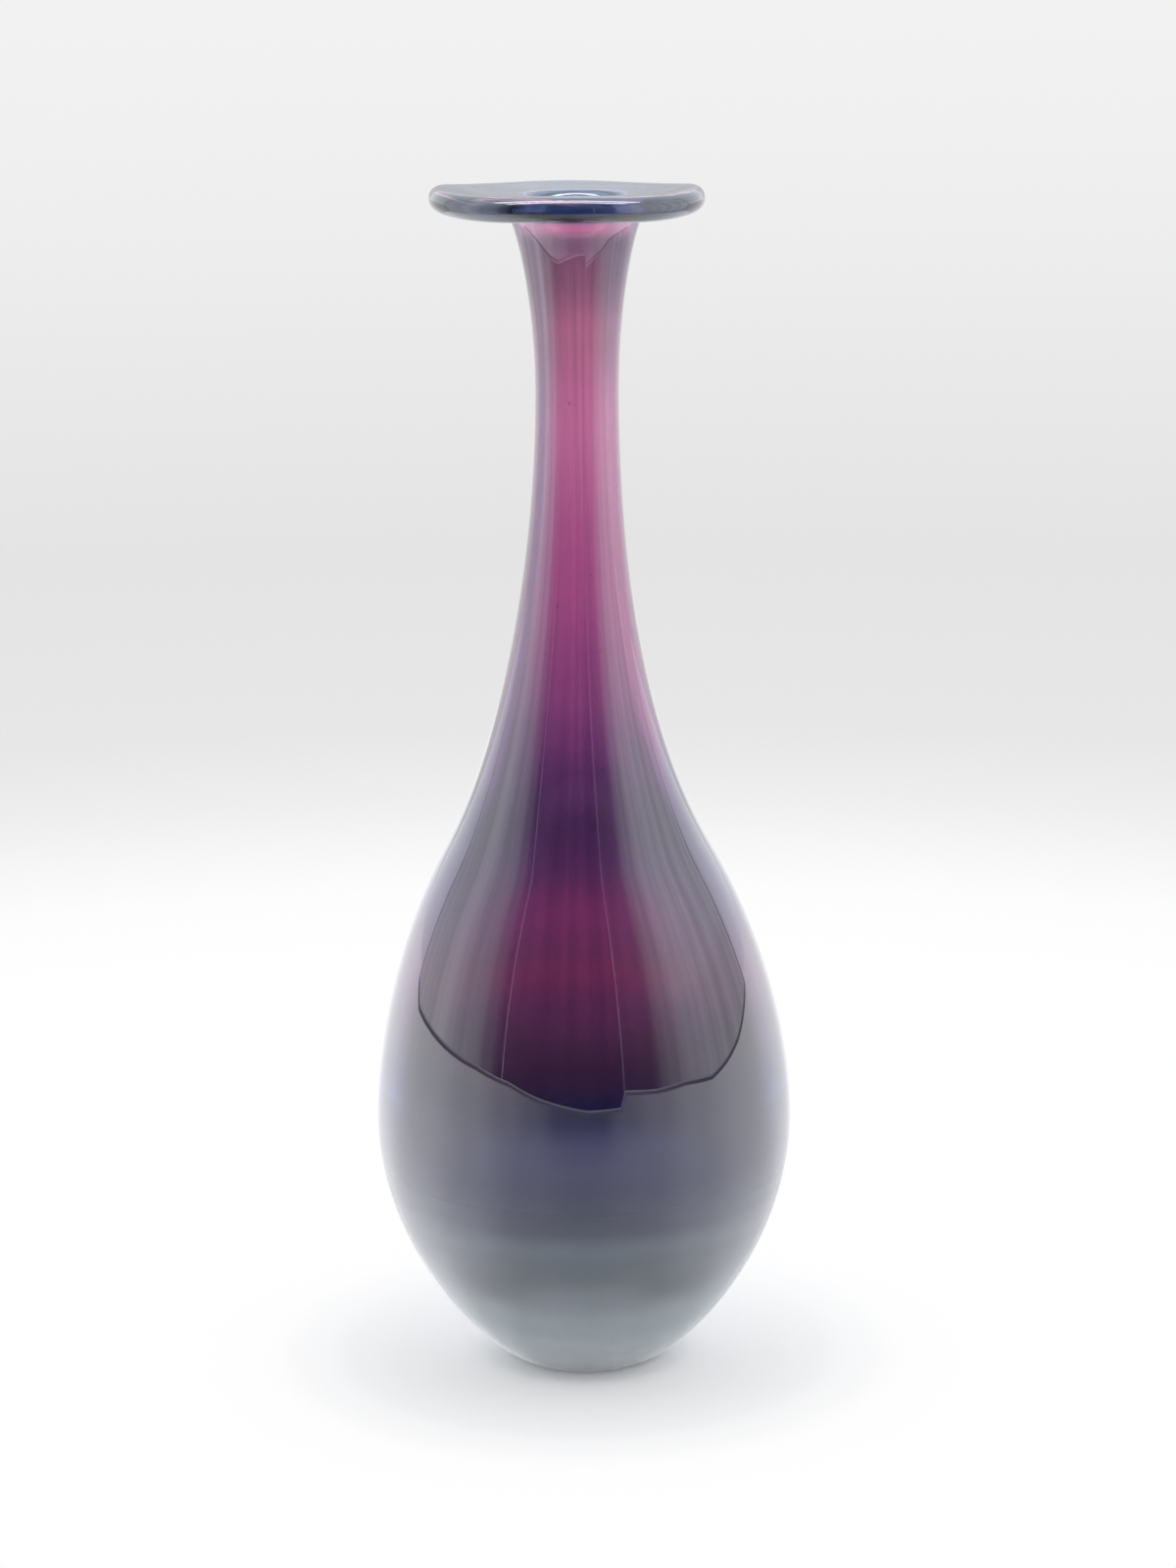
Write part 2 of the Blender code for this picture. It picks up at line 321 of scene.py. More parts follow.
class Nodes:
    """Adds shader nodes to one material's tree."""

    def __init__(self, tree):
        self.tree = tree
        tree.nodes.clear()

    def add(self, kind, settings=None, **inputs):
        node = self.tree.nodes.new(kind)
        for key, value in (settings or {}).items():
            setattr(node, key, value)
        for key, value in inputs.items():
            self.put(node, key.replace("_", " "), value)
        return node

    def put(self, node, key, value):
        socket = node.inputs[key]
        if isinstance(value, bpy.types.NodeSocket):
            self.tree.links.new(value, socket)
        else:
            socket.default_value = value

    def math(self, operation, a, b=0.0, c=0.0):
        node = self.tree.nodes.new("ShaderNodeMath")
        node.operation = operation
        for i, value in enumerate((a, b, c)):
            self.put(node, i, value)
        return node.outputs[0]

    def mix(self, share, first, second):
        node = self.tree.nodes.new("ShaderNodeMixShader")
        for i, value in enumerate((share, first, second)):
            self.put(node, i, value)
        return node.outputs[0]

    def blend(self, share, first, second, how="MIX"):
        """From the first colour to the second by this share."""
        node = self.add("ShaderNodeMix", {"data_type": "RGBA", "blend_type": how})
        for key, value in ((MIX_SHARE_IN, share), (MIX_FIRST_IN, first), (MIX_SECOND_IN, second)):
            self.put(node, key, value)
        return node.outputs[MIX_COLOUR_OUT]

    def deepen(self, colour, other, share=1.0):
        """The colour, and by this share the colour times the other."""
        return self.blend(share, colour, other, "MULTIPLY")

    def place(self):
        return self.add("ShaderNodeTexCoord").outputs["Object"]

    def apart(self, place):
        return self.add("ShaderNodeSeparateXYZ", None, Vector=place)

    def across(self, apart):
        """The distance from the axis."""
        x, y = (self.math("POWER", apart.outputs[axis], 2.0) for axis in "XY")
        return self.math("SQRT", self.math("ADD", x, y))

    def around(self, apart):
        """The angle round the vase in degrees, from the camera's side towards +X."""
        angle = self.math("ARCTAN2", apart.outputs["X"], self.math("MULTIPLY", apart.outputs["Y"], -1.0))
        return self.math("MULTIPLY", angle, 180 / math.pi)

    def turned_noise(self, apart, across, turns, along, detail):
        """Noise that changes round the axis this fast, and with the value given as along."""
        spot = self.add("ShaderNodeCombineXYZ")
        reach = self.math("MAXIMUM", across, NOISE_LEAST_RADIUS)
        for axis in "XY":
            share = self.math("DIVIDE", apart.outputs[axis], reach)
            self.put(spot, axis, self.math("MULTIPLY", share, turns))
        self.put(spot, "Z", along)
        noise = self.add("ShaderNodeTexNoise", None, Scale=1.0, Detail=detail, Roughness=0.6)
        self.tree.links.new(spot.outputs[0], noise.inputs["Vector"])
        return noise.outputs["Fac"]

    def ramp(self, value, low, high, stops, interpolation="LINEAR"):
        scaled = self.math("DIVIDE", self.math("SUBTRACT", value, low), high - low)
        node = self.tree.nodes.new("ShaderNodeValToRGB")
        node.color_ramp.interpolation = interpolation
        elements = node.color_ramp.elements
        while len(elements) < len(stops):
            elements.new(0.5)
        for element, (at, colour) in zip(elements, stops):
            element.position = (at - low) / (high - low)
            if not hasattr(colour, "__len__"):
                colour = (colour,) * 3
            element.color = (*colour, 1)
        self.tree.links.new(scaled, node.inputs[0])
        return node.outputs["Color"]

    def share_ramp(self, value, stops, interpolation="LINEAR"):
        return self.ramp(value, 0.0, 1.0, stops, interpolation)

    def height_ramp(self, z, stops, interpolation="LINEAR"):
        return self.ramp(z, 0.0, TOP, stops, interpolation)

    def side_ramp(self, degrees, stops):
        return self.ramp(degrees, -180, 180, stops, "EASE")


def new_material(name):
    material = bpy.data.materials.new(name)
    material.use_nodes = True
    n = Nodes(material.node_tree)
    return material, n, n.add("ShaderNodeOutputMaterial")


def absorb(n, out, through, thickness):
    """Glass that lets this share of each colour through that thickness of it."""
    loss = [-math.log(t) / thickness for t in through]
    density = max(loss) * DENSITY_MARGIN
    volume = n.add("ShaderNodeVolumeAbsorption")
    volume.inputs["Color"].default_value = (*[1 - v / density for v in loss], 1)
    volume.inputs["Density"].default_value = density
    n.tree.links.new(volume.outputs[0], out.inputs["Volume"])


# The colour of the glass by height: nearly clear in the foot, dark blue up to the widest part, red over
# it, violet and then pink in the neck, and blue in the lip
GLASS_COLOURS = [(0.0, (0.93, 0.96, 0.96)), (0.020, (0.84, 0.92, 0.91)), (0.034, (0.77, 0.88, 0.88)),
                 (0.040, (0.55, 0.66, 0.70)), (0.048, (0.15, 0.18, 0.27)), (0.060, (0.05, 0.05, 0.145)),
                 (0.077, (0.055, 0.05, 0.186)), (0.090, (0.318, 0.109, 0.228)), (0.105, (0.67, 0.16, 0.35)),
                 (0.121, (0.43, 0.17, 0.38)), (0.142, (0.28, 0.14, 0.30)), (0.155, (0.49, 0.21, 0.45)),
                 (0.176, (0.65, 0.29, 0.54)), (0.200, (0.76, 0.35, 0.59)), (0.241, (0.91, 0.51, 0.70)),
                 (0.262, (0.80, 0.48, 0.60)), (0.278, (0.59, 0.38, 0.49)), (0.286, (0.48, 0.30, 0.44)),
                 (0.2876, (0.87, 0.42, 0.63)), (0.2898, (0.85, 0.42, 0.63)), (0.291, (0.10, 0.27, 0.49)),
                 (0.2952, (0.15, 0.35, 0.57)), (0.2966, (0.46, 0.50, 0.62)), (TOP, (0.46, 0.50, 0.62))]

# What deepens the colour where light goes through more glass: its share by height, and by how far
# the surface turns away from the eye
BODY_COLOUR = (0.50, 0.62, 0.88, 1)
BODY_SHARES = [(0.0, 0.0), (0.05, 0.0), (0.08, 1.0), (0.14, 1.0), (0.18, 0.1), (TOP, 0.0)]
BODY_TURN_SHARES = [(0.0, 0.0), (0.04, 0.0), (0.20, 1.0), (1.0, 1.0)]
RIM_COLOUR = (0.48, 0.95, 0.56, 1)
RIM_SHARES = [(0.0, 0.0), (0.045, 0.0), (0.075, 1.0), (0.14, 1.0), (0.17, 0.0), (TOP, 0.0)]
RIM_TURN_SHARES = [(0.0, 0.0), (0.30, 0.0), (0.50, 1.0), (1.0, 1.0)]
HEEL_COLOUR = (0.76, 0.79, 0.80, 1)
HEEL_SHARES = [(0.0, 1.0), (0.035, 1.0), (0.065, 0.0), (TOP, 0.0)]
HEEL_TURN_SHARES = [(0.0, 0.0), (0.38, 0.0), (0.72, 1.0), (1.0, 1.0)]

# On the neck the colour deepens towards the edges, and by the angle round the vase it carries painted shade,
# dark blue, on the left edge and a painted pink glow on the right
NECK_PAINTED_SHADE_AND_GLOW = [(-180, (0.50, 0.34, 0.52)), (-95, (0.09, 0.14, 0.27)), (-45, (0.19, 0.17, 0.33)),
                (0, (0.55, 0.36, 0.54)), (35, (0.78, 0.45, 0.63)), (90, (0.92, 0.50, 0.70)),
                (180, (0.50, 0.34, 0.52))]
NECK_PAINTED_SHADE_SHARES = [(0.0, 0.0), (0.13, 0.0), (0.17, 1.0), (0.284, 1.0), (0.2875, 0.3), (0.2915, 0.0), (TOP, 0.0)]
NECK_PAINTED_SHADE_TURN_SHARES = [(0.0, 0.0), (0.05, 0.0), (0.20, 0.5), (0.40, 1.0), (0.50, 1.0), (0.72, 0.35), (1.0, 0.2)]
# Under the lip the colour deepens towards the edges as well, and by the angle round the vase it carries
# painted shade, darkest and blue on the right side
FLARE_PAINTED_SHADE = [(-180, (0.40, 0.38, 0.50)), (-90, (0.60, 0.38, 0.52)), (0, (0.42, 0.34, 0.46)),
                 (90, (0.12, 0.16, 0.36)), (180, (0.40, 0.38, 0.50))]
FLARE_PAINTED_SHADE_SHARES = [(0.0, 0.0), (0.24, 0.0), (0.262, 0.5), (0.278, 1.0), (0.284, 1.0), (0.2875, 0.2), (TOP, 0.0)]
FLARE_PAINTED_SHADE_TURN_SHARES = [(0.0, 0.0), (0.03, 0.0), (0.12, 0.7), (0.26, 1.0), (0.50, 1.0), (0.70, 0.1), (1.0, 0.0)]

# At its very edge the neck shows the clear casing alone
CLEAR_COLOUR = (0.80, 0.83, 0.85, 1)
CLEAR_SHARES = [(0.0, 0.0), (0.14, 0.0), (0.19, 0.7), (0.26, 1.0), (0.289, 1.0), (0.2915, 0.0), (TOP, 0.0)]
CLEAR_TURN_SHARES = [(0.0, 0.0), (0.42, 0.0), (0.525, 0.30), (0.60, 0.7), (0.70, 1.0), (1.0, 1.0)]

# Streaks of amethyst swirled into the lip: their height, and the part of the noise that shows
SWIRL_COLOUR = (0.84, 0.38, 0.50, 1)
SWIRL_SHARES = [(0.0, 0.0), (0.2945, 0.0), (0.2955, 0.6), (0.2966, 1.0), (TOP, 1.0)]
SWIRL_NOISE_SHARES = [(0.0, 0.0), (0.52, 0.0), (0.545, 1.0), (0.565, 1.0), (0.59, 0.0), (1.0, 0.0)]
SWIRL_TURNS = 0.8
SWIRL_RINGS = 420.0
SWIRL_WORN_SHARE = 0.6

# Cords drawn out along the bubble while it was blown
CORD_COLOUR = (0.74, 0.70, 0.80, 1)
CORD_SHARES = [(0.0, 0.0), (0.06, 0.0), (0.09, 1.0), (0.27, 1.0), (0.288, 0.0), (TOP, 0.0)]
CORD_NOISE_SHARES = [(0.0, 1.0), (0.36, 0.8), (0.56, 0.0), (1.0, 0.0)]
CORD_TURNS = 13.0
CORD_DRIFT = 5.0

# The base is softly frosted. Its foot is ground, and worn white in fine specks, and the punt is polished
FROST = [(0.0, 0.42), (0.034, 0.42), (0.056, 0.26), (0.074, 0.0), (TOP, 0.0)]
WORN_SHARES = [(0.0, 0.90), (0.004, 0.85), (0.010, 0.60), (0.018, 0.28), (0.030, 0.0), (TOP, 0.0)]
WORN_REACH = 0.06
WORN_ACROSS_SHARES = [(0.0, 0.0), (0.0098, 0.0), (0.0102, 0.15), (0.0178, 0.15), (0.0188, 1.0),
                      (WORN_REACH, 1.0)]
PIT_SCALE = 1300.0
PIT_SHARES = [(0.0, 0.6), (0.42, 0.85), (0.62, 1.2), (1.0, 1.5)]

# How light bends in the glass, and how bright its gloss is
GLASS_IOR = 1.52
GLOSS_IOR = 1.7

# The share of each colour that gets through: twice the belly's wall in the casing, twice the depth of the
# layer in the bubble, and LIP_LENGTH in the lip
CASING_THROUGH = (0.86, 0.88, 0.89)
BUBBLE_THROUGH = (0.93, 0.80, 0.90)
LIP_THROUGH = (0.05, 0.19, 0.36)
LIP_LENGTH = 0.050


def swirl_share(n, apart):
    across = n.across(apart)
    noise = n.turned_noise(apart, across, SWIRL_TURNS, n.math("MULTIPLY", across, SWIRL_RINGS), 2.0)
    by_height = n.height_ramp(apart.outputs["Z"], SWIRL_SHARES)
    return n.math("MULTIPLY", by_height, n.share_ramp(noise, SWIRL_NOISE_SHARES))


def cord_share(n, apart):
    z = apart.outputs["Z"]
    noise = n.turned_noise(apart, n.across(apart), CORD_TURNS, n.math("MULTIPLY", z, CORD_DRIFT), 3.0)
    return n.math("MULTIPLY", n.height_ramp(z, CORD_SHARES), n.share_ramp(noise, CORD_NOISE_SHARES))


def glass_tint(n, apart, swirl):
    z = apart.outputs["Z"]
    degrees = n.around(apart)
    outside = n.add("ShaderNodeAttribute", {"attribute_name": "outside"}).outputs["Fac"]
    facing = n.add("ShaderNodeLayerWeight", None, Blend=0.5).outputs["Facing"]

    def side(height_shares, turn_shares):
        by_height = n.height_ramp(z, height_shares, "EASE")
        return n.math("MULTIPLY", by_height, n.share_ramp(facing, turn_shares, "EASE"))

    def outer_side(height_shares, turn_shares):
        return n.math("MULTIPLY", outside, side(height_shares, turn_shares))

    tint = n.height_ramp(z, GLASS_COLOURS, "EASE")
    tint = n.blend(swirl, tint, SWIRL_COLOUR)
    tint = n.deepen(tint, CORD_COLOUR, cord_share(n, apart))
    tint = n.deepen(tint, BODY_COLOUR, side(BODY_SHARES, BODY_TURN_SHARES))
    tint = n.deepen(tint, RIM_COLOUR, side(RIM_SHARES, RIM_TURN_SHARES))
    # painted shade and a painted pink glow at the neck's edges, by the angle round the vase
    tint = n.deepen(tint, n.side_ramp(degrees, NECK_PAINTED_SHADE_AND_GLOW), outer_side(NECK_PAINTED_SHADE_SHARES, NECK_PAINTED_SHADE_TURN_SHARES))
    # painted shade under the lip, darkest on the right
    tint = n.deepen(tint, n.side_ramp(degrees, FLARE_PAINTED_SHADE), outer_side(FLARE_PAINTED_SHADE_SHARES, FLARE_PAINTED_SHADE_TURN_SHARES))
    tint = n.deepen(tint, HEEL_COLOUR, outer_side(HEEL_SHARES, HEEL_TURN_SHARES))
    return n.blend(outer_side(CLEAR_SHARES, CLEAR_TURN_SHARES), tint, CLEAR_COLOUR)


def worn_share(n, place, apart, swirl):
    """The share of the surface that is white and no longer clear."""
    pits = n.add("ShaderNodeTexNoise", None, Vector=place, Scale=PIT_SCALE, Detail=4.0, Roughness=0.6)
    worn = n.height_ramp(apart.outputs["Z"], WORN_SHARES, "EASE")
    worn = n.math("MULTIPLY", worn, n.ramp(n.across(apart), 0.0, WORN_REACH, WORN_ACROSS_SHARES))
    worn = n.math("MULTIPLY", worn, n.share_ramp(pits.outputs["Fac"], PIT_SHARES))
    worn = n.math("MINIMUM", 1.0, worn)
    return n.math("MAXIMUM", worn, n.math("MULTIPLY", swirl, SWIRL_WORN_SHARE))


def outer_glass():
    material, n, out = new_material("smoky_glass")
    place = n.place()
    apart = n.apart(place)
    swirl = swirl_share(n, apart)
    clear = n.math("SUBTRACT", 1.0, worn_share(n, place, apart, swirl))
    frost = n.height_ramp(apart.outputs["Z"], FROST, "EASE")
    shader = n.add("ShaderNodeBsdfPrincipled", None, Base_Color=glass_tint(n, apart, swirl), Roughness=frost,
                   IOR=GLASS_IOR, Transmission_Weight=clear, Coat_Weight=1.0, Coat_Roughness=0.0,
                   Coat_IOR=GLOSS_IOR)
    n.put(out, "Surface", shader.outputs[0])
    absorb(n, out, CASING_THROUGH, 2 * BELLY_WALL)
    return material


def core_glass(name, through, thickness):
    """Coloured glass inside glass of its own kind, so that light isn't bent where they meet."""
    material, n, out = new_material(name)
    shader = n.add("ShaderNodeBsdfPrincipled", None, Base_Color=(1, 1, 1, 1), Roughness=0.0, IOR=1.0,
                   Transmission_Weight=1.0)
    n.put(out, "Surface", shader.outputs[0])
    absorb(n, out, through, thickness)
    return material


# Small bubbles of air caught in the wall
SEEDS = 44
SEED_RADIUS = (0.00014, 0.00034)
SEED_START_SHARE = 0.3
SEED_DEPTH_SHARES = (0.5, 0.85)
SEED_STRETCH_SHARES = (1.0, 1.8)
RANDOM_SEED = 5


def seeds():
    """Closed hollows whose faces point into the air."""
    random.seed(RANDOM_SEED)
    ball = bmesh.new()
    bmesh.ops.create_icosphere(ball, subdivisions=2, radius=1.0)
    shape = np.array([v.co for v in ball.verts])
    sides = [[v.index for v in reversed(f.verts)] for f in ball.faces]
    ball.free()
    outside = np.vstack([heel(), shoulder()[1:]])
    inside = bore()
    verts = []
    faces = []
    for k in range(SEEDS):
        height = random.uniform(SEED_START_SHARE * BASE_THICKNESS, NECK_HEIGHT)
        far = np.interp(height, outside[:, 1], outside[:, 0])
        near = np.interp(height, inside[:, 1], inside[:, 0])
        radius = near + (far - near) * random.uniform(*SEED_DEPTH_SHARES)
        angle = random.uniform(0, 2 * math.pi)
        size = random.uniform(*SEED_RADIUS)
        middle = (radius * math.cos(angle), radius * math.sin(angle), height)
        faces += [[len(shape) * k + i for i in side] for side in sides]
        verts.append(np.array(middle) + size * shape * (1, 1, random.uniform(*SEED_STRETCH_SHARES)))
    return work_by_hand(np.vstack(verts)), faces


# The vase
def casing_glass():
    """The clear skin of the whole vase, outside and inside, with its seeds."""
    verts, faces = turned(glass_outline())
    seed_verts, seed_faces = seeds()
    hollow_count = 1 + TURN * (len(bore()) - 2)
    outer_count = len(verts) - hollow_count
    faces += [[len(verts) + i for i in face] for face in seed_faces]
    piece = glass_piece("casing_glass", np.vstack([verts, seed_verts]), faces, outer_glass(), "smoky_casing",
                        "smoky_glass")
    mark(piece.data, "outside", [1.0] * outer_count + [0.0] * (hollow_count + len(seed_verts)))


casing_glass()
glass_piece("bubble_core", *turned(bubble_core_outline(), turn=CORE_TURN),
            core_glass("amethyst_glass", BUBBLE_THROUGH, 2 * (BUBBLE_CORE_FAR - BUBBLE_CORE_NEAR)),
            "amethyst_bubble", "amethyst_glass")
glass_piece("lip_core", *turned(lip_core_outline(), closed=True, turn=CORE_TURN),
            core_glass("lip_glass", LIP_THROUGH, LIP_LENGTH), "lip_wrap", "lip_glass")


# The floor
FLOOR_RADIUS = 16.0
FLOOR_DROP = 0.00002
FLOOR_SIDES = 96
# its painted shade by the distance from the axis in metres, over a ramp that runs by powers of ten: white
# near the vase, darker from half a metre out, and lighter again far off
FLOOR_PAINTED_SHADES = [(0.40, 1.0), (0.50, 0.98), (0.57, 0.93), (0.66, 0.86), (0.80, 0.80), (1.33, 0.775),
                (2.3, 0.815), (3.5, 0.847), (6.1, 0.871), (FLOOR_RADIUS, 0.888)]
FLOOR_SHADE_POWERS = (-0.6, 1.3)
FLOOR_SHADE_START = 0.01
FLOOR_COLOUR = (0.93, 0.93, 0.93, 1)
# near the foot the floor is a lit one, so that it takes the shadow
FLOOR_LIT_REACH = 0.5
FLOOR_LIT_SHARES = [(0.0, 0.24), (0.0165, 0.24), (0.0186, 0.97), (0.0246, 0.85), (0.0287, 0.66),
                    (0.034, 0.56), (0.045, 0.48), (0.058, 0.40), (0.070, 0.22), (0.085, 0.04), (0.11, 0.0)]


def staged(name, verts, faces, material, *hidden_from):
    obj = new_object(name, new_mesh(name, verts, faces), material)
    for ray in hidden_from:
        setattr(obj, "visible_" + ray, False)
    return obj


def floor_material():
    material, n, out = new_material("floor")
    length = n.add("ShaderNodeVectorMath", {"operation": "LENGTH"})
    n.tree.links.new(n.place(), length.inputs[0])
    distance = length.outputs["Value"]
    power = n.math("LOGARITHM", n.math("MAXIMUM", distance, FLOOR_SHADE_START), 10)
    # the painted shade of the floor and backdrop, which the camera, the gloss and the glass see
    shade = n.ramp(power, *FLOOR_SHADE_POWERS, [(math.log10(a), b) for a, b in FLOOR_PAINTED_SHADES])
    seen = n.add("ShaderNodeEmission", None, Color=shade, Strength=1.0)
    lit = n.add("ShaderNodeBsdfDiffuse", None, Color=FLOOR_COLOUR)
    near = n.ramp(distance, 0.0, FLOOR_LIT_REACH, FLOOR_LIT_SHARES, "EASE")
    rays = n.add("ShaderNodeLightPath")
    shown = n.math("MAXIMUM", rays.outputs["Is Camera Ray"],
                   n.math("MAXIMUM", rays.outputs["Is Glossy Ray"], rays.outputs["Is Transmission Ray"]))
    share = n.math("MULTIPLY", shown, n.math("SUBTRACT", 1.0, near))
    n.put(out, "Surface", n.mix(share, lit.outputs[0], seen.outputs[0]))
    return material


def add_floor():
    verts = [(0, 0, 0)] + circle(FLOOR_RADIUS, 0, FLOOR_SIDES)
    faces = [(0, 1 + k, 1 + (k + 1) % FLOOR_SIDES) for k in range(FLOOR_SIDES)]
    staged("floor", verts, faces, floor_material()).location.z = -FLOOR_DROP


add_floor()


# The light
# Two wide soft lights stand at the sides of the vase, on a wall whose lower edge rises and falls, with a
# dim gap between them. Angles turn from the camera's side towards +X.
WALL_RADIUS = 0.38
WALL_TOP = 0.56
WALL_COLUMNS = 48
WALL_EDGE = [(-116, 0.112), (-109, 0.098), (-96, 0.100), (-80, 0.101), (-59, 0.102), (-39, 0.097),
             (-24, 0.085), (-12, 0.078), (2, 0.071), (19, 0.073), (22, 0.096), (39, 0.090), (55, 0.089),
             (72, 0.080), (83, 0.085), (96, 0.094), (105, 0.104), (115, 0.115)]
WALL_END = 116
GAP_START = -43
GAP_END = 21
LIGHT_TINT = (0.975, 0.985, 1.03, 1)
# how far the folds change the strength of the light, and how close they stand
FOLDS = 0.5
FOLD_SCALE = 0.16


def on_wall(angle, height, radius=WALL_RADIUS):
    a = math.radians(angle)
    return radius * math.sin(a), -radius * math.cos(a), height


def wall_strip(first, last):
    verts = []
    for k in range(WALL_COLUMNS + 1):
        angle = first + (last - first) * k / WALL_COLUMNS
        low = float(np.interp(angle, [a for a, _ in WALL_EDGE], [z for _, z in WALL_EDGE]))
        verts += [on_wall(angle, low), on_wall(angle, WALL_TOP)]
    return verts, [(2 * k, 2 * k + 1, 2 * k + 3, 2 * k + 2) for k in range(WALL_COLUMNS)]


def glow(n, out, colour, strength=1.0):
    light = n.add("ShaderNodeEmission", None, Color=colour, Strength=strength)
    n.put(out, "Surface", light.outputs[0])


def even_glow(name, level):
    material, n, out = new_material(name)
    glow(n, out, LIGHT_TINT, level)
    return material


def wall_glow(name, levels, strength=1.0, folds=0.0, rise=None):
    """Light by the angle round the vase, with soft folds, and by height where rise gives that."""
    material, n, out = new_material(name)
    apart = n.apart(n.place())
    degrees = n.around(apart)
    colour = n.ramp(degrees, levels[0][0], levels[-1][0], levels, "EASE")
    if rise:
        colour = n.deepen(colour, n.ramp(apart.outputs["Z"], 0.0, WALL_TOP, rise, "EASE"))
    if folds:
        noise = n.add("ShaderNodeTexNoise", {"noise_dimensions": "1D"}, W=degrees, Scale=FOLD_SCALE,
                      Detail=3.0, Roughness=0.6)
        wave = n.math("MULTIPLY", n.math("SUBTRACT", noise.outputs["Fac"], 0.5), folds)
        strength = n.math("MULTIPLY", n.math("ADD", 1.0, wave), strength)
    glow(n, out, n.deepen(colour, LIGHT_TINT), strength)
    return material


# the kinds of ray that a light is hidden from
UNSEEN = ("camera", "transmission")
GLOSS_ONLY = (*UNSEEN, "diffuse", "shadow")
LEFT_LEVELS = [(-WALL_END, 0.75), (-101, 0.85), (-87, 1.06), (-74, 0.72), (-64, 0.64), (-53, 0.28),
               (-45, 0.05), (-44, 0.05), (GAP_START, 0.6)]
LEFT_STRENGTH = 1.5
RIGHT_LEVELS = [(GAP_END, 0.5), (22, 0.05), (36, 0.08), (48, 0.46), (60, 0.85), (74, 1.0), (92, 0.90),
                (WALL_END, 0.80)]
RIGHT_STRENGTH = 1.6
RIGHT_RISE = [(0.0, 0.70), (0.12, 0.72), (0.16, 0.76), (0.22, 0.92), (0.30, 1.0), (WALL_TOP, 1.0)]
GAP_LEVELS = [(GAP_START, 0.08), (-20, 0.04), (GAP_END, 0.03)]

staged("light_left", *wall_strip(-WALL_END, GAP_START),
       wall_glow("light_left", LEFT_LEVELS, LEFT_STRENGTH, FOLDS), *UNSEEN)
staged("light_right", *wall_strip(GAP_END, WALL_END),
       wall_glow("light_right", RIGHT_LEVELS, RIGHT_STRENGTH, FOLDS, RIGHT_RISE), *UNSEEN)
staged("dark_gap", *wall_strip(GAP_START, GAP_END), wall_glow("dark_gap", GAP_LEVELS), *GLOSS_ONLY)

# The soft light below the wall comes from a wide low bowl, stronger at the sides of the vase. The gloss of
# the glass shows it, at other levels towards the bowl's rim, and it fades towards the foot.
BOWL_OUTLINE = [(0.004, 0.0005), (0.379, 0.0005), (0.383, 0.002), (0.385, 0.006), (0.385, 0.12)]
BOWL_STEPS = 96
BOWL_LEVELS = [(-180, 0.95), (-150, 1.2), (-120, 1.65), (-85, 1.95), (-60, 1.5), (-30, 0.85), (0, 0.65),
               (30, 0.85), (60, 1.3), (85, 1.6), (120, 1.45), (150, 1.1), (180, 0.95)]
BOWL_RIM_LEVELS = [(-180, 0.95), (-150, 1.2), (-120, 1.6), (-85, 1.75), (-60, 1.4), (-40, 0.9), (-26, 0.60),
                   (-12, 0.28), (8, 0.24), (22, 0.55), (38, 0.85), (60, 1.3), (85, 1.6), (120, 1.5),
                   (150, 1.1), (180, 0.95)]
# how far the rim's levels hold, by the distance from the axis plus twice the height
BOWL_RIM_REACH = 0.65
BOWL_RIM_SHARES = [(0.0, 0.0), (0.18, 0.0), (0.385, 0.40), (0.50, 1.0)]
# how it fades, by the distance from the axis
BOWL_FADE_REACH = 0.4
BOWL_FADE_SHARES = [(0.0, 0.46), (0.022, 0.46), (0.035, 0.50), (0.048, 0.57), (0.058, 0.68), (0.068, 0.71),
                    (0.09, 0.74), (0.13, 0.82), (0.18, 0.90), (0.27, 0.96), (0.385, 1.0)]


def bowl_glow():
    material, n, out = new_material("light_bowl")
    apart = n.apart(n.place())
    degrees = n.around(apart)
    across = n.across(apart)
    along = n.math("MULTIPLY_ADD", apart.outputs["Z"], 2.0, across)
    rim_share = n.ramp(along, 0.0, BOWL_RIM_REACH, BOWL_RIM_SHARES, "EASE")
    colour = n.blend(rim_share, n.side_ramp(degrees, BOWL_LEVELS), n.side_ramp(degrees, BOWL_RIM_LEVELS))
    colour = n.deepen(colour, n.ramp(across, 0.0, BOWL_FADE_REACH, BOWL_FADE_SHARES))
    glow(n, out, n.deepen(colour, LIGHT_TINT))
    return material


def bowl():
    steps = BOWL_STEPS
    verts = []
    faces = []
    for level, (radius, height) in enumerate(BOWL_OUTLINE):
        verts += [on_wall(360 * k / steps, height, radius) for k in range(steps)]
        if level:
            a, b = (level - 1) * steps, level * steps
            faces += [(a + k, a + (k + 1) % steps, b + (k + 1) % steps, b + k) for k in range(steps)]
    return verts, faces


staged("light_bowl", *bowl(), bowl_glow(), *GLOSS_ONLY)

# Two narrow bands along the wall's lower edge, with their reach below and above it
BAND_STEP = 0.01
BAND_AHEAD = 0.005
HEM_LOW = -0.0035
HEM_HIGH = 0.001
HEM_LEVEL = 0.32
PIPING_HIGH = 0.003
PIPING_LEVEL = 0.9


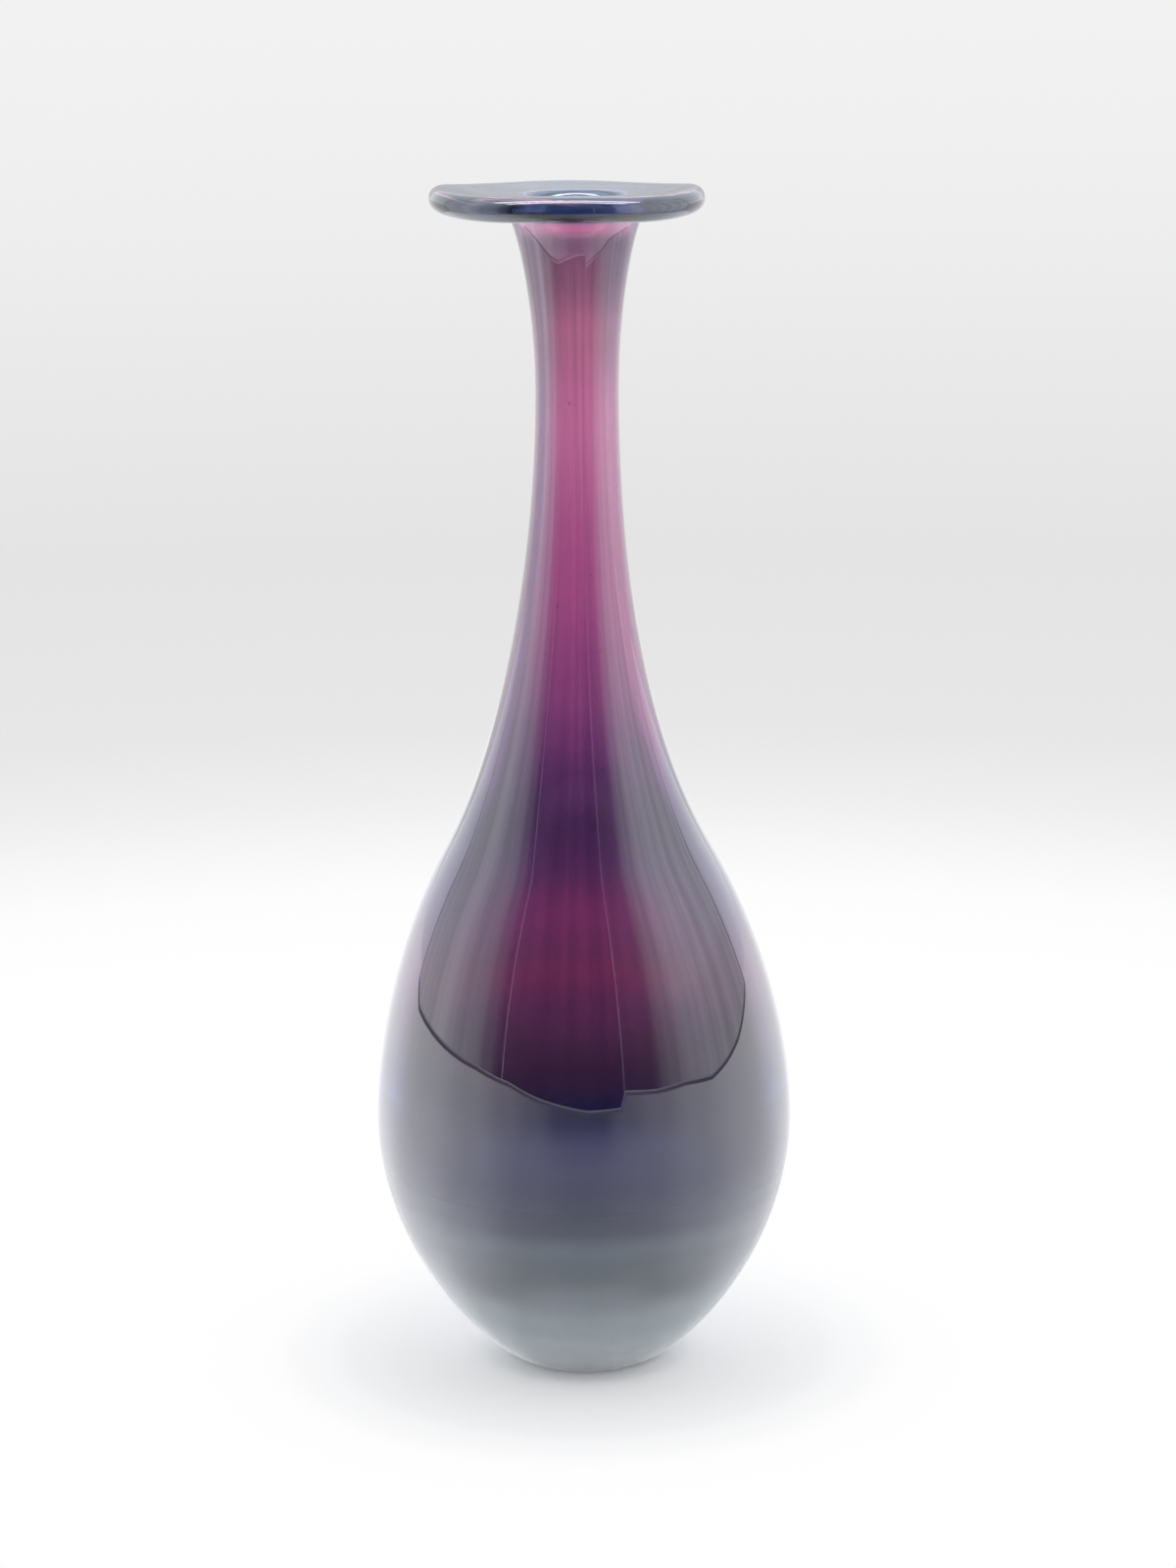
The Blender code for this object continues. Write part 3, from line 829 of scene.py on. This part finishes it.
def band(name, low, high, level):
    """A narrow band along the lower edge of the wall and up its ends."""
    spots = [(-WALL_END, WALL_TOP), *WALL_EDGE, (WALL_END, WALL_TOP)]
    corners = np.array([(math.radians(a) * WALL_RADIUS, z) for a, z in spots])
    path = []
    for a, b in zip(corners, corners[1:]):
        steps = max(1, int(np.linalg.norm(b - a) / BAND_STEP))
        path += [a + (b - a) * k / steps for k in range(steps)]
    path = np.array(path + [corners[-1]])
    verts = []
    for shift in (low, high):
        for x, z in offset(path, -shift):
            verts.append(on_wall(math.degrees(x / WALL_RADIUS), z, WALL_RADIUS - BAND_AHEAD))
    count = len(path)
    faces = [(k, k + 1, count + k + 1, count + k) for k in range(count - 1)]
    staged(name, verts, faces, even_glow(name, level), *UNSEEN)


band("hem", HEM_LOW, HEM_HIGH, HEM_LEVEL)
band("piping", HEM_HIGH, PIPING_HIGH, PIPING_LEVEL)

# Two strip lights over the vase
STRIP_HEIGHT = 1.20
STRIP_HALF_LENGTH = 0.75
STRIP_LEVEL = 7.0
FRONT_STRIP_AHEAD = 0.34
FRONT_STRIP_HALF_WIDTH = 0.085
BACK_STRIP_AHEAD = 0.06
BACK_STRIP_HALF_WIDTH = 0.075


def strip(name, ahead, half_width):
    """A strip light over the vase, which draws the thin highlights along the lip."""
    corners = ((-STRIP_HALF_LENGTH, -half_width), (STRIP_HALF_LENGTH, -half_width),
               (STRIP_HALF_LENGTH, half_width), (-STRIP_HALF_LENGTH, half_width))
    verts = [(x, -ahead + y, STRIP_HEIGHT) for x, y in corners]
    staged(name, verts, [(0, 1, 2, 3)], even_glow(name, STRIP_LEVEL), *GLOSS_ONLY)


strip("strip_light_front", FRONT_STRIP_AHEAD, FRONT_STRIP_HALF_WIDTH)
strip("strip_light_back", BACK_STRIP_AHEAD, BACK_STRIP_HALF_WIDTH)

# A low white card that lights the ground foot
CARD_HALF_WIDTH = 0.22
CARD_NEAR = -0.34
CARD_FAR = -0.40
CARD_HEIGHT = 0.16
CARD_LEVEL = 1.0


def fill_card():
    """It leans away from the vase, in front of it."""
    verts = [(-CARD_HALF_WIDTH, CARD_NEAR, 0.0), (CARD_HALF_WIDTH, CARD_NEAR, 0.0),
             (CARD_HALF_WIDTH, CARD_FAR, CARD_HEIGHT), (-CARD_HALF_WIDTH, CARD_FAR, CARD_HEIGHT)]
    staged("fill_card", verts, [(0, 1, 2, 3)], even_glow("fill_card", CARD_LEVEL), *UNSEEN, "glossy")


fill_card()

# The room and the backdrop
BACKDROP = (0.888, 0.888, 0.888, 1)
ROOM_TINT = (0.95, 0.98, 1.04, 1)
# from the camera's side, which is dim, to the far side
ROOM_LEVELS = [(-1.0, 0.05), (-0.60, 0.06), (-0.2, 1.3), (0.87, 1.3), (0.96, 0.72), (1.0, 0.54)]


def world():
    sky = bpy.data.worlds.new("world")
    bpy.context.scene.world = sky
    sky.use_nodes = True
    n = Nodes(sky.node_tree)
    out = n.add("ShaderNodeOutputWorld")
    rays = n.add("ShaderNodeLightPath")
    seen = n.math("MAXIMUM", rays.outputs["Is Camera Ray"], rays.outputs["Is Transmission Ray"])
    back = n.add("ShaderNodeBackground", None, Color=BACKDROP, Strength=1.0)
    direction = n.apart(n.add("ShaderNodeTexCoord").outputs["Generated"])
    level = n.ramp(direction.outputs["Y"], -1.0, 1.0, ROOM_LEVELS, "EASE")
    room = n.add("ShaderNodeBackground", None, Color=n.deepen(level, ROOM_TINT), Strength=1.0)
    n.put(out, "Surface", n.mix(seen, room.outputs[0], back.outputs[0]))


world()

# The camera
# its focal length is in the pixels of a picture 1600 pixels high
FOCAL_PIXELS = 3989.6
PICTURE_HEIGHT_PIXELS = 1600
SENSOR = 36
CAMERA_PLACE = (0.0018, -0.9593, 0.3587)
# a camera turned by 90 degrees is level, and this one looks down
CAMERA_TILT = math.radians(90 - 12.34)
CAMERA_ROLL = math.radians(-0.5)
CLIP_START = 0.05
CLIP_END = 40
BOUNCES = 24


def add_camera():
    data = bpy.data.cameras.new("camera")
    data.lens = FOCAL_PIXELS / PICTURE_HEIGHT_PIXELS * SENSOR
    data.sensor_width = SENSOR
    data.clip_start = CLIP_START
    data.clip_end = CLIP_END
    obj = bpy.data.objects.new("camera", data)
    bpy.context.scene.collection.objects.link(obj)
    obj.location = CAMERA_PLACE
    turn = Matrix.Rotation(CAMERA_TILT, 4, "X") @ Matrix.Rotation(CAMERA_ROLL, 4, "Z")
    obj.rotation_euler = turn.to_euler()
    bpy.context.scene.camera = obj


add_camera()
bpy.context.scene.view_settings.view_transform = "Standard"
bpy.context.scene.cycles.max_bounces = BOUNCES
bpy.context.scene.cycles.transmission_bounces = BOUNCES
